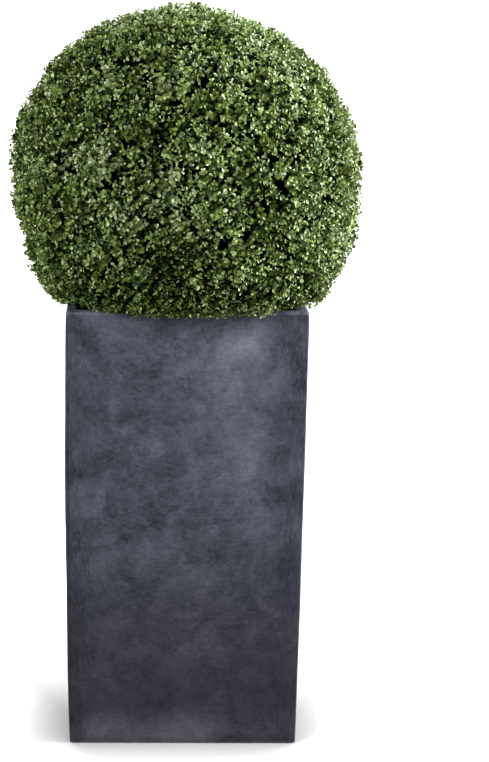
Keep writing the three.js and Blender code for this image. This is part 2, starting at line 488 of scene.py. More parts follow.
    def material(self) -> bpy.types.Material:
        """Makes the material, from the clay's tone up to the painted light on its rim and the scratches.

        Returns:
            The finish.
        """
        shader = Shader("slate_clay", Specular_IOR_Level=self.gloss)
        across = shader.axis("X").size().least(shader.axis("Y").size())
        margin = across.rise(*self.margin_strip)
        strokes = self.strokes(shader, margin)
        fine = shader.grain(650.0, 2.0)
        height = shader.axis("Z")
        low = (height + shader.grain(5.0) * 0.14).rise(*self.low_band)
        tone = self.tone(shader, strokes, fine, low, margin)
        pits = shader.cells(90.0).rise(0.14, 0.06) * shader.grain(38.0).rise(0.56, 0.66)
        # A patchy noise that spreads the sole's wear and painted reflection, and the painted light on the
        # rim.
        wear = shader.grain(55.0, 3.0).rise(0.38, 0.62)
        corner = across.rise(*self.corner_shade_strip)
        rim = height.rise(*(self.height - depth for depth in self.rim_light_band))
        sole = height.rise(*self.sole_sheen_band)
        light = shader.blend(low, self.slate, self.plum)
        body = shader.blend(tone, self.dark, light)
        # Pits are darker, and the rounded upright corners get painted shade.
        pitted_and_shaded = shader.blend((pits * 0.8).most(corner * 0.5), body, self.dark)
        # Wear and a painted reflection of the white floor lighten the sole's edge.
        wear_and_floor_sheen = shader.blend(sole * wear * 0.5, pitted_and_shaded, light)
        # Painted light: the rim's top is lightened where the ball shades it.
        rim_lightened = shader.blend(rim * (wear * 0.35 + 0.2), wear_and_floor_sheen, self.rim_painted_light)
        marks = (self.scratches(shader) * 0.14).most(self.curls(shader) * 0.09)
        colour = shader.blend(marks, rim_lightened, self.scratch)
        shader.raise_surface(strokes * 0.4 + fine * 0.3 - pits + tone * 0.4, self.relief)
        return shader.dress(Base_Color=colour, Roughness=self.roughness - strokes * 0.18 - tone * 0.10)


@dataclass(frozen=True)
class BoxLeaf:
    """A small leathery leaf: a plain colour with a soft gloss, and a little light through it."""

    name: str
    colour: Colour
    gloss: float = 0.29
    roughness: float = 0.53
    uneven: float = 0.2
    through: float = 0.14
    paler: float = 0.8

    def material(self) -> bpy.types.Material:
        """Makes the material.

        Returns:
            The finish.
        """
        shader = Shader(self.name, Base_Color=self.colour, Specular_IOR_Level=self.gloss)
        glow = tuple(channel**self.paler for channel in self.colour)
        thin = shader.node("ShaderNodeBsdfTranslucent", {}, {"Color": glow})
        values = {0: self.through, 1: shader.principled.outputs[0], 2: thin.outputs[0]}
        leaf = shader.node("ShaderNodeMixShader", {}, values)
        shader.feed(shader.output.inputs["Surface"], leaf.outputs[0])
        speckle = shader.grain(300.0, 1.0)
        return shader.dress(Roughness=speckle * self.uneven + (self.roughness - self.uneven / 2))


class Tint(Enum):
    """The leaves' colours, from the oldest leaves, deep inside, to the youngest, and a bluish green."""

    SHADE = BoxLeaf("leaf_shade", (0.013, 0.028, 0.006))
    DEEP = BoxLeaf("leaf_deep", (0.028, 0.056, 0.013))
    OLIVE = BoxLeaf("leaf_olive", (0.079, 0.105, 0.018))
    MIDDLE = BoxLeaf("leaf_middle", (0.097, 0.142, 0.036))
    FRESH = BoxLeaf("leaf_fresh", (0.166, 0.212, 0.083))
    YOUNG = BoxLeaf("leaf_young", (0.206, 0.256, 0.134))
    PALE = BoxLeaf("leaf_pale", (0.274, 0.312, 0.208))
    BLUISH = BoxLeaf("leaf_bluish", (0.070, 0.112, 0.055))


@dataclass(frozen=True)
class Bark:
    """Grey-brown bark with upright furrows."""

    name: str
    furrow: Colour
    ridge: Colour
    scale: float
    gloss: float = 0.3
    relief: float = 0.0008

    def material(self) -> bpy.types.Material:
        """Makes the material.

        Returns:
            The finish.
        """
        shader = Shader(self.name, Specular_IOR_Level=self.gloss)
        upright = shader.stretched((self.scale, self.scale, self.scale / 7))
        stripes = shader.grain(1.0, 4.0, 0.8, upright)
        fleck = shader.grain(self.scale * 3, 2.0)
        mask = (stripes * 0.75 + fleck * 0.25).rise(0.35, 0.68)
        shader.raise_surface(mask, self.relief)
        colour = shader.blend(mask, self.furrow, self.ridge)
        return shader.dress(Base_Color=colour, Roughness=0.95 - mask * 0.15)


@dataclass(frozen=True)
class Crumbly:
    """A dark, matte, crumbly stuff: potting soil, and the near-black painted shade inside the ball."""

    name: str
    dark: Colour
    light: Colour
    scale: float
    gloss: float = 0.15
    relief: float = 0.003

    def material(self) -> bpy.types.Material:
        """Makes the material.

        Returns:
            The finish.
        """
        shader = Shader(self.name, Specular_IOR_Level=self.gloss)
        crumbs = shader.cells(self.scale).rise(0.0, 0.7) * 0.6 + shader.grain(self.scale * 2, 4.0) * 0.4
        shader.raise_surface(crumbs, self.relief)
        colour = shader.blend(crumbs, self.dark, self.light)
        return shader.dress(Base_Color=colour, Roughness=1.0 - crumbs * 0.1)


@dataclass(frozen=True)
class StudioWhite:
    """The studio's floor of white acrylic, lit from below, with a painted contact shadow close in front of
    and beside the object.
    """

    colour: Colour = (0.26, 0.259, 0.26)
    gloss: float = 0.1
    glow: float = 0.47
    shade_reach: float = 0.105
    shade_depth: float = 2.5
    shade_end: Pair = (-0.17, 0.12)

    def material(self) -> bpy.types.Material:
        """Makes the material.

        Returns:
            The finish.
        """
        shader = Shader("studio_white", Specular_IOR_Level=self.gloss, Emission_Strength=self.glow)
        # Painted contact shadow: the glow dims where ambient occlusion finds the object near, and the dimming
        # fades out towards the back.
        near = shader.node("ShaderNodeAmbientOcclusion", {}, {"Distance": self.shade_reach})
        painted_shadow_mask = Signal(shader, near.outputs["AO"]) ** self.shade_depth
        unshadowed = painted_shadow_mask.most(shader.axis("Y").rise(*self.shade_end))
        light = shader.blend(unshadowed, (0.0, 0.0, 0.0), (1.0, 1.0, 1.0))
        roughness = 0.8 + shader.grain(3.0, 2.0) * 0.1
        return shader.dress(Base_Color=self.colour, Roughness=roughness, Emission_Color=light)


def add_piece(
    name: str, mesh: bpy.types.Mesh, material: bpy.types.Material, stands_for: Node
) -> None:
    """Puts a finished mesh into the scene as a piece of the object.

    Args:
        name: The piece's name.
        mesh: Its mesh, already in place.
        material: Its finish.
        stands_for: The solid that it replaces.
    """
    mesh.materials.append(material)
    mesh.shade_smooth()
    piece = bpy.data.objects.new(name, mesh)
    bpy.context.scene.collection.objects.link(piece)
    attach(piece, BODY)
    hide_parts(stands_for.value)
    LOG.info("%s: %d faces", name, len(mesh.polygons))


def square_block(width: float, bottom: float, top: float) -> bmesh.types.BMesh:
    """Models an upright square block around the Z axis.

    Args:
        width: Its width both ways.
        bottom: The height of its underside.
        top: The height of its top.

    Returns:
        The block.
    """
    shape = bmesh.new()
    size = Matrix.Diagonal((width, width, top - bottom, 1.0))
    middle = Matrix.Translation((0, 0, (top + bottom) / 2))
    bmesh.ops.create_cube(shape, size=1.0, matrix=middle @ size)
    return shape


def rough(place: Vector) -> float:
    """Gives three octaves of noise at a place, from about -1 to 1."""
    return noise.fractal(place, 1.0, 2.0, 3)


def mesh_of(name: str, shape: bmesh.types.BMesh, sharp: float = 40.0) -> bpy.types.Mesh:
    """Turns a bmesh into a smooth mesh.

    Args:
        name: The mesh's name.
        shape: The bmesh, which is freed.
        sharp: Edges that turn by more than this, in degrees, stay sharp.

    Returns:
        The mesh.
    """
    bmesh.ops.recalc_face_normals(shape, faces=shape.faces)
    mesh = bpy.data.meshes.new(name)
    shape.to_mesh(mesh)
    shape.free()
    mesh.shade_smooth()
    mesh.set_sharp_from_angle(angle=math.radians(sharp))
    return mesh


def mesh_of_arrays(name: str, points: np.ndarray, faces: np.ndarray) -> bpy.types.Mesh:
    """Makes one joined mesh of many small things.

    Args:
        name: The mesh's name.
        points: Corner places, one row each.
        faces: Rows of three corner numbers.

    Returns:
        The mesh.
    """
    mesh = bpy.data.meshes.new(name)
    mesh.vertices.add(len(points))
    mesh.vertices.foreach_set("co", np.ascontiguousarray(points, dtype=np.float32).ravel())
    mesh.loops.add(faces.size)
    mesh.loops.foreach_set("vertex_index", np.ascontiguousarray(faces, dtype=np.int32).ravel())
    mesh.polygons.add(len(faces))
    mesh.polygons.foreach_set("loop_start", np.arange(0, faces.size, faces.shape[1], dtype=np.int32))
    mesh.update(calc_edges=True)
    return mesh


def many_copies(points: np.ndarray, faces: np.ndarray) -> tuple[np.ndarray, np.ndarray]:
    """Joins copies of one small mesh, whose corners come as an array of copies by corners by 3."""
    steps = np.arange(len(points))[:, None, None] * points.shape[1]
    return points.reshape(-1, 3), (faces[None] + steps).reshape(-1, faces.shape[1])


def arrays_of(shape: bmesh.types.BMesh) -> tuple[np.ndarray, np.ndarray]:
    """Gives a small bmesh as arrays.

    Args:
        shape: The bmesh, which is freed.

    Returns:
        Corners and triangles.
    """
    bmesh.ops.triangulate(shape, faces=shape.faces)
    shape.verts.index_update()
    points = np.array([vert.co[:] for vert in shape.verts])
    faces = np.array([[vert.index for vert in face.verts] for face in shape.faces])
    shape.free()
    return points, faces


def unit(vectors: np.ndarray) -> np.ndarray:
    """Scales vectors to length 1."""
    return vectors / np.linalg.norm(vectors, axis=-1, keepdims=True)


def square_to(directions: np.ndarray, hints: np.ndarray) -> np.ndarray:
    """Gives the unit vector at a right angle to each direction that is nearest to its hint."""
    along = np.sum(directions * hints, axis=-1, keepdims=True)
    return unit(hints - along * directions)


def rotated(first: np.ndarray, second: np.ndarray, angle: np.ndarray) -> np.ndarray:
    """Turns each first vector towards the second, which is square to it, by an angle in radians."""
    return first * np.cos(angle)[:, None] + second * np.sin(angle)[:, None]


class SourceRandom:
    """The seeded random numbers that the solids' rule draws, from 0 to 1."""

    MASK = 0xFFFFFFFF
    STEP = 0x6D2B79F5

    def __init__(self, seed: int) -> None:
        """Starts the row of numbers."""
        self.state = seed

    def __call__(self) -> float:
        """Draws the next number."""
        self.state = (self.state + self.STEP) & self.MASK
        mixed = (self.state ^ (self.state >> 15)) * (1 | self.state) & self.MASK
        mixed = (mixed + ((mixed ^ (mixed >> 7)) * (61 | mixed) & self.MASK) & self.MASK) ^ mixed
        return ((mixed ^ (mixed >> 14)) & self.MASK) / 2**32


@dataclass
class Planter:
    """The tall square planter: a cast clay shell, rubbed round at its edges and a little uneven by hand."""

    width: float = PLANTER_WIDTH
    height: float = PLANTER_HEIGHT
    wall: float = PLANTER_WALL
    floor: float = 0.030
    arris: float = 0.0040
    arris_segments: int = 4
    inner_arris: float = 0.0040
    inner_segments: int = 3
    grid: float = 0.014
    swell: float = 0.0007
    swell_pitch: float = 5.0
    dent: float = 0.0005
    dent_pitch: float = 24.0
    even_ends: float = 0.02
    belly: float = 0.0024
    belly_fullness: float = 0.6
    bow: float = 0.0018
    finish: SlateClay = field(default_factory=SlateClay)

    def shell(self) -> bmesh.types.BMesh:
        """Models the shell: a block with rounded arrises, hollowed from the top and rounded inside too.

        Returns:
            The shell.
        """
        shape = square_block(self.width, 0.0, self.height)
        bevel = {"affect": "EDGES", "profile": 0.5, "material": -1}
        outer = shape.edges[:]
        bmesh.ops.bevel(shape, geom=outer, offset=self.arris, segments=self.arris_segments, **bevel)
        top = max(shape.faces, key=lambda face: face.calc_center_median().z)
        bmesh.ops.inset_region(shape, faces=[top], thickness=self.wall - self.arris)
        pit = bmesh.ops.extrude_face_region(shape, geom=[top])
        bmesh.ops.delete(shape, geom=[top], context="FACES")
        floor = [item for item in pit["geom"] if isinstance(item, bmesh.types.BMVert)]
        bmesh.ops.translate(shape, verts=floor, vec=(0, 0, self.floor - self.height))
        mouth = self.width / 2 - self.wall + CLEARANCE
        inner = []
        for edge in shape.edges:
            inside = all(max(abs(vert.co.x), abs(vert.co.y)) < mouth for vert in edge.verts)
            if inside and any(vert.co.z > self.floor + CLEARANCE for vert in edge.verts):
                inner.append(edge)
        bmesh.ops.bevel(shape, geom=inner, offset=self.inner_arris, segments=self.inner_segments, **bevel)
        return shape

    def cut_grid(self, shape: bmesh.types.BMesh) -> None:
        """Cuts the long faces into a grid fine enough to be uneven.

        Args:
            shape: The shell.
        """
        cuts = int(self.height / self.grid)
        for step in range(1, cuts):
            self.cut(shape, (0, 0, self.height * step / cuts), (0, 0, 1))
        cuts = int(self.width / self.grid)
        for step in range(1, cuts):
            across = self.width * (step / cuts - 0.5)
            if abs(across) < self.width / 2 - self.wall:
                self.cut(shape, (across, 0, 0), (1, 0, 0))
                self.cut(shape, (0, across, 0), (0, 1, 0))

    @staticmethod
    def cut(shape: bmesh.types.BMesh, point: Triple, normal: Triple) -> None:
        """Cuts all faces along a plane."""
        everything = [*shape.verts, *shape.edges, *shape.faces]
        bmesh.ops.bisect_plane(
            shape, geom=everything, dist=MERGE_DISTANCE, plane_co=point, plane_no=normal
        )

    def wear(self, shape: bmesh.types.BMesh) -> None:
        """Makes the casting uneven: full sides, broad swells, small dents and a slight bow to the left.

        Args:
            shape: The shell, cut into its grid.
        """
        shape.normal_update()
        dent_shift = Vector((3, 1, 7))
        moves = []
        for vert in shape.verts:
            swell = self.swell * noise.noise(vert.co * self.swell_pitch)
            dent = self.dent * max(0.0, noise.noise(vert.co * self.dent_pitch + dent_shift))
            off_ground = min(1.0, vert.co.z / self.even_ends)
            below_rim = min(1.0, (self.height - vert.co.z) / self.even_ends)
            middle = math.sin(math.pi * min(1.0, max(0.0, vert.co.z / self.height)))
            belly = self.belly * middle**self.belly_fullness
            outward = Vector((vert.co.x, vert.co.y, 0.0)) * 2 * belly / self.width
            uneven = (swell - dent) * off_ground * below_rim * vert.normal
            moves.append(uneven + outward - Vector((self.bow * middle, 0, 0)))
        for vert, move in zip(shape.verts, moves):
            vert.co += move

    def build(self) -> None:
        """Models and dresses the planter."""
        shape = self.shell()
        self.cut_grid(shape)
        self.wear(shape)
        mesh = mesh_of("planter_clay", shape)
        add_piece("planter_clay", mesh, self.finish.material(), Node.PLANTER)


@dataclass
class Soil:
    """The potting soil: a rough-topped filling with loose crumbs on it."""

    width: float = 0.3554
    bottom: float = 0.0303
    top: float = 0.740
    cuts: int = 44
    hollows: float = 0.006
    hollow_pitch: float = 38.0
    edge: float = 0.002
    crumbs: int = 900
    crumb_size: float = 0.004
    crumb_sizes: Pair = (0.35, 1.0)
    crumb_squash: Pair = (0.6, 1.2)
    crumb_margin: float = 0.02
    crumb_sink: float = 0.004
    seed: int = 31
    finish: Crumbly = Crumbly("damp_soil", (0.010, 0.007, 0.005), (0.055, 0.040, 0.028), 160.0)

    def filling(self) -> bmesh.types.BMesh:
        """Models the filling, whose top is roughened.

        Returns:
            The filling.
        """
        shape = square_block(self.width, self.bottom, self.top)
        lowest = self.top - CLEARANCE
        lid = [edge for edge in shape.edges if all(vert.co.z > lowest for vert in edge.verts)]
        bmesh.ops.subdivide_edges(shape, edges=lid, cuts=self.cuts, use_grid_fill=True)
        for vert in shape.verts:
            inside = max(abs(vert.co.x), abs(vert.co.y)) < self.width / 2 - self.edge
            if vert.co.z > lowest and inside:
                vert.co.z -= self.hollows * (0.5 + 0.5 * rough(vert.co * self.hollow_pitch))
        return shape

    def loose(self) -> tuple[np.ndarray, np.ndarray]:
        """Scatters crumbs on the filling.

        Returns:
            Corners and faces.
        """
        random = np.random.default_rng(self.seed)
        ball = bmesh.new()
        bmesh.ops.create_icosphere(ball, subdivisions=1, radius=1.0)
        points, faces = arrays_of(ball)
        size = self.crumb_size * random.uniform(*self.crumb_sizes, (self.crumbs, 1, 1))
        squash = random.uniform(*self.crumb_squash, (self.crumbs, 1, 3))
        spots = random.uniform(-0.5, 0.5, (self.crumbs, 1, 3)) * (self.width - self.crumb_margin)
        spots[..., 2] = self.top - self.crumb_sink
        return many_copies(spots + points[None] * size * squash, faces)

    def build(self) -> None:
        """Models and dresses the soil and its crumbs."""
        material = self.finish.material()
        add_piece("soil", mesh_of("soil", self.filling()), material, Node.SOIL)
        crumbs = mesh_of_arrays("soil_crumbs", *self.loose())
        add_piece("soil_crumbs", crumbs, material, Node.SOIL)


@dataclass
class Stem:
    """The short stem: tapered, flared at its foot, leaning a little, with furrowed bark."""

    foot: float = STEM_FOOT
    height: float = 0.190
    foot_radius: float = 0.032
    radius: float = 0.021
    tip_radius: float = 0.012
    lean: Pair = (0.035, 0.0175)
    rings: int = 40
    sides: int = 48
    cap: float = 0.005
    relief: float = 0.0016
    furrow_pitch: Triple = (90.0, 90.0, 14.0)
    finish: Bark = Bark("old_bark", (0.045, 0.034, 0.024), (0.21, 0.17, 0.12), 120.0)

    def thickness(self, height: float) -> float:
        """Gives the stem's radius at a height over its foot."""
        taper = self.radius + (self.tip_radius - self.radius) * height / self.height
        return taper + (self.foot_radius - self.radius) * math.exp(-3 * height / self.foot_radius)

    def axis(self, share: float) -> Vector:
        """Gives the middle of the stem at a share of its height."""
        height = share * self.height
        return Vector((height * self.lean[0], height * self.lean[1], self.foot + height))

    def build(self) -> None:
        """Turns, furrows and dresses the stem."""
        shape = bmesh.new()
        outline = [(0.0, 0.0)]
        for ring in range(self.rings + 1):
            height = self.height * ring / self.rings
            outline.append((self.thickness(height) - self.relief, height))
        outline.append((0.0, self.height + self.cap))
        verts = [shape.verts.new((radius, 0.0, height)) for radius, height in outline]
        edges = [shape.edges.new(pair) for pair in zip(verts, verts[1:])]
        bmesh.ops.spin(
            shape, geom=[*verts, *edges], cent=(0, 0, 0), axis=(0, 0, 1), dvec=(0, 0, 0),
            angle=math.tau, steps=self.sides, use_merge=True,
        )
        bmesh.ops.remove_doubles(shape, verts=shape.verts, dist=MERGE_DISTANCE)
        for vert in shape.verts:
            outward = Vector((vert.co.x, vert.co.y, 0.0))
            if outward.length > CLEARANCE:
                furrow = rough(Vector([value * pitch for value, pitch in zip(vert.co, self.furrow_pitch)]))
                vert.co += outward.normalized() * self.relief * max(-1.0, min(1.0, furrow))
            vert.co += Vector((vert.co.z * self.lean[0], vert.co.z * self.lean[1], self.foot))
        mesh = mesh_of("stem_bark", shape, sharp=60.0)
        add_piece("stem_bark", mesh, self.finish.material(), Node.STEM)


@dataclass
class Limbs:
    """Limbs of one order: the points along each, and their thickness there."""

    paths: np.ndarray
    radii: np.ndarray

    def tips(self) -> np.ndarray:
        """Gives the ends of the limbs."""
        return self.paths[:, -1]

    def at(self, owner: np.ndarray, share: np.ndarray) -> tuple[np.ndarray, np.ndarray]:
        """Gives places on limbs and the ways that the limbs run there.

        Args:
            owner: The number of each limb.
            share: How far along it, from 0 to 1.

        Returns:
            Places and unit directions.
        """
        last = self.paths.shape[1] - 1
        step = np.minimum((share * last).astype(int), last - 1)
        within = (share * last - step)[:, None]
        start, end = self.paths[owner, step], self.paths[owner, step + 1]
        return start + (end - start) * within, unit(end - start)

    def tubes(self, sides: int) -> tuple[np.ndarray, np.ndarray]:
        """Skins the limbs with closed tubes.

        Args:
            sides: The sides of a tube.

        Returns:
            Corners and triangles.
        """
        count, rings = self.paths.shape[:2]
        along = unit(np.gradient(self.paths, axis=1))
        upright = np.abs(along[:, :1, 2:]) > 0.9
        hint = np.where(upright, np.array([1.0, 0, 0]), np.array([0, 0, 1.0]))
        side = square_to(along, np.broadcast_to(hint, along.shape))
        other = np.cross(along, side)
        turn = np.arange(sides) * math.tau / sides
        spoke = rotated(side[:, :, None], other[:, :, None], turn)
        points = self.paths[:, :, None] + spoke * self.radii[:, :, None, None]
        faces = []
        for ring in range(rings - 1):
            for corner in range(sides):
                here, beside = ring * sides + corner, ring * sides + (corner + 1) % sides
                faces += [(here, beside, beside + sides), (here, beside + sides, here + sides)]
        last = (rings - 1) * sides
        for corner in range(1, sides - 1):
            faces += [(0, corner + 1, corner), (last, last + corner, last + corner + 1)]
        return many_copies(points.reshape(count, -1, 3), np.array(faces))


@dataclass(frozen=True)
class Mark:
    """A place where the clipped surface lies lower or higher than a true ball's."""

    direction: Triple
    breadth: float
    height: float


@dataclass
class Ball:
    """The clipped ball's shape, and the rule by which its twigs reach all of its surface."""

    radius: float = 0.305
    centre_over_rim: float = 0.1845
    rim: float = PLANTER_HEIGHT
    opening: float = PLANTER_WIDTH / 2 - PLANTER_WALL
    planter_half: float = PLANTER_WIDTH / 2
    rim_gap: float = 0.002
    wall_gap: float = 0.003
    seed: int = 20417
    branchlets: int = 88
    branchlet_wander: float = 0.16
    rim_lift: float = 0.5
    leaf_width: float = 0.032
    leaf_draws: int = 13
    hang: float = 0.020
    droop: float = 0.009
    front_droop: float = 0.006
    front_slant: float = 0.8
    trim: float = 0.0018
    lump: float = 0.011
    lump_pitch: float = 4.5
    least_steep: float = 0.01
    fitting_rounds: int = 3
    marks: tuple[Mark, ...] = (
        Mark((0.72, 0.18, 0.67), 0.140, -0.003),
        Mark((0.40, 0.25, 0.88), 0.045, -0.012),
        Mark((0.28, 0.02, 0.96), 0.018, -0.012),
        Mark((0.65, -0.02, 0.76), 0.020, 0.006),
        Mark((-0.69, -0.02, 0.73), 0.030, 0.005),
        Mark((-0.94, -0.07, 0.35), 0.020, 0.005),
        Mark((-0.97, -0.14, -0.22), 0.012, -0.014),
        Mark((-0.90, -0.17, -0.42), 0.012, 0.006),
        Mark((-0.80, -0.20, -0.56), 0.030, -0.008),
        Mark((0.93, -0.07, 0.35), 0.012, 0.003),
        Mark((0.99, -0.11, 0.02), 0.006, 0.005),
        Mark((0.97, -0.15, -0.22), 0.006, -0.004),
        Mark((0.91, -0.17, -0.38), 0.012, 0.015),
        Mark((0.84, -0.19, -0.51), 0.008, -0.006),
        Mark((0.71, -0.25, -0.66), 0.012, 0.015),
        Mark((0.56, -0.59, -0.58), 0.022, 0.018),
        Mark((-0.56, -0.59, -0.58), 0.022, 0.018),
    )

    @property
    def centre(self) -> np.ndarray:
        """Gives the ball's centre."""
        return np.array([0.0, 0.0, self.rim + self.centre_over_rim])

    def source_branchlets(self) -> tuple[np.ndarray, np.ndarray]:
        """Repeats the solids' rule for the branchlets.

        Returns:
            The direction of each branchlet's root from the ball's centre, and the way that it grows.
        """
        random = SourceRandom(self.seed)
        lowest = -(self.centre_over_rim - self.leaf_width / 2) / self.radius
        roots, axes = [], []
        for index in range(self.branchlets):
            height = 1 + (lowest - 1) * (index + 0.5) / self.branchlets
            across = math.sqrt(1 - height * height)
            turn = index * GOLDEN_ANGLE
            root = np.array([across * math.cos(turn), across * math.sin(turn), height])
            wander = np.array([2 * random() - 1 for _ in range(3)]) * self.branchlet_wander
            wander[2] += self.rim_lift * max(0.0, -height) ** 2
            roots.append(root)
            axes.append(root + wander)
            for _ in range(self.leaf_draws):
                random()
        return np.array(roots), unit(np.array(axes))

    def spread(self, count: int, band: Pair, wander: float, random: np.random.Generator) -> np.ndarray:
        """Spreads directions over the ball by the golden angle, and lets them wander.

        Args:
            count: How many.
            band: The sines of the highest one's height and of the lowest one's.
            wander: How far each may stray.
            random: The random numbers.

        Returns:
            Unit directions.
        """
        highest, lowest = band
        height = highest + (lowest - highest) * (np.arange(count) + 0.5) / count
        across = np.sqrt(1 - height**2)
        turn = np.arange(count) * GOLDEN_ANGLE
        even = np.stack([across * np.cos(turn), across * np.sin(turn), height], axis=1)
        return unit(even + random.uniform(-wander, wander, (count, 3)))

    def clipped(self, directions: np.ndarray) -> np.ndarray:
        """Gives how far from the centre the shears cut, each way.

        Args:
            directions: Unit directions.

        Returns:
            A true ball's radius, with the lumps and flats that the shears left.
        """
        lumps = np.array([noise.noise(Vector(way) * self.lump_pitch) for way in directions])
        reach = self.radius - self.trim + self.lump * lumps
        for mark in self.marks:
            turned = 1 - directions @ unit(np.array(mark.direction))
            reach += mark.height * np.exp(-turned / mark.breadth)
        return reach

    def surface(self, directions: np.ndarray) -> np.ndarray:
        """Gives how far the foliage reaches from the centre, each way.

        Args:
            directions: Unit directions.

        Returns:
            The clipped ball's radius there, or less where the foliage rests over the planter's rim.
        """
        reach = self.clipped(directions)
        steep = np.maximum(-directions[:, 2], self.least_steep)
        for _ in range(self.fitting_rounds):
            tips = directions * reach[:, None]
            reach = np.minimum(reach, (self.centre[2] - self.lowest_over(tips)) / steep)
        return reach

    def lowest_over(self, places: np.ndarray) -> np.ndarray:
        """Gives how low foliage may hang: into the mouth, onto the rim, or a little down outside the wall.

        Args:
            places: Places from above, as rows of at least X and Y.

        Returns:
            The lowest height there.
        """
        across = np.max(np.abs(places[..., :2]), axis=-1)
        in_front = -places[..., 1] > np.abs(places[..., 0]) * self.front_slant
        outside = self.rim - np.where(in_front, self.front_droop, self.droop)
        over_wall = np.where(across > self.planter_half + self.wall_gap, outside, self.rim + self.rim_gap)
        return np.where(across < self.opening - self.wall_gap, self.rim - self.hang, over_wall)

    def holds(self, points: np.ndarray, spare: float, most: float) -> np.ndarray:
        """Tells which leaves keep to the ball's space.

        Args:
            points: The corners of each leaf.
            spare: How far a leaf may stand proud of the clipped surface.
            most: How far it may stand proud of a true ball.

        Returns:
            True for each leaf that keeps inside the surface, over the rim, and clear of the planter's wall.
        """
        places = points - self.centre
        reach = np.linalg.norm(places, axis=2)
        limit = np.maximum(self.clipped(unit(places.mean(axis=1))) + spare, self.radius)
        within = np.all(reach < np.minimum(limit, self.radius + most)[:, None], axis=1)
        return within & np.all(points[..., 2] > self.lowest_over(points), axis=1)


@dataclass(frozen=True)
class Order:
    """How limbs of one order grow from the order before it.

    Their tips lie depth under the clipped surface, give or take uneven, and are gathered towards the tip of
    the limb that carries them. They leave it along the stretch called take_off, and bend at a few points.
    The band gives the sines of the highest tip's height and of the lowest one's.
    """

    count: int
    depth: float
    uneven: float
    gather: float
    take_off: Pair
    points: int
    radius: float
    band: Pair = (1.0, -0.80)


